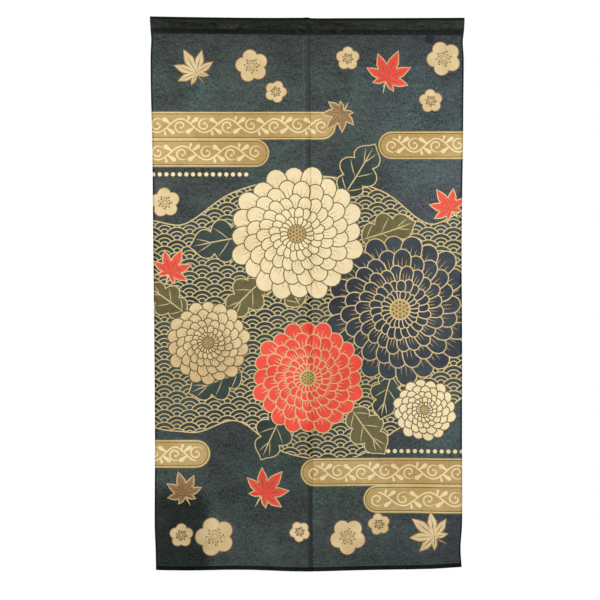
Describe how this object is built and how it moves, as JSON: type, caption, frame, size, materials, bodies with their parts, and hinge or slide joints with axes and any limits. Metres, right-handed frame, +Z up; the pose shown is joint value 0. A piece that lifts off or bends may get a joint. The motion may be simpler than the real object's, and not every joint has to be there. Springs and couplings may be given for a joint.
{
  "type": "noren curtain",
  "caption": "Split doorway curtain of sheer printed cloth: lapped panels hang in soft folds from a sleeve that takes a rod.",
  "frame": {"origin": "middle of the top edge, where the sleeve bears on its rod", "axes": "+Z up, +X to the right across the doorway as seen from the front, the front faces -Y"},
  "size_m": [0.8517, 0.0279, 1.5013],
  "materials": {
    "printed_cloth": "matt sheer plain weave, printed on the front",
    "sewn_heading": "matt sheer plain weave in two and three layers",
    "label_ribbon": "woven ribbon, plain"
  },
  "bodies": {
    "root": {"left_panel": "printed_cloth", "right_panel": "printed_cloth", "heading": "sewn_heading", "label": "label_ribbon"}
  },
  "joints": []
}
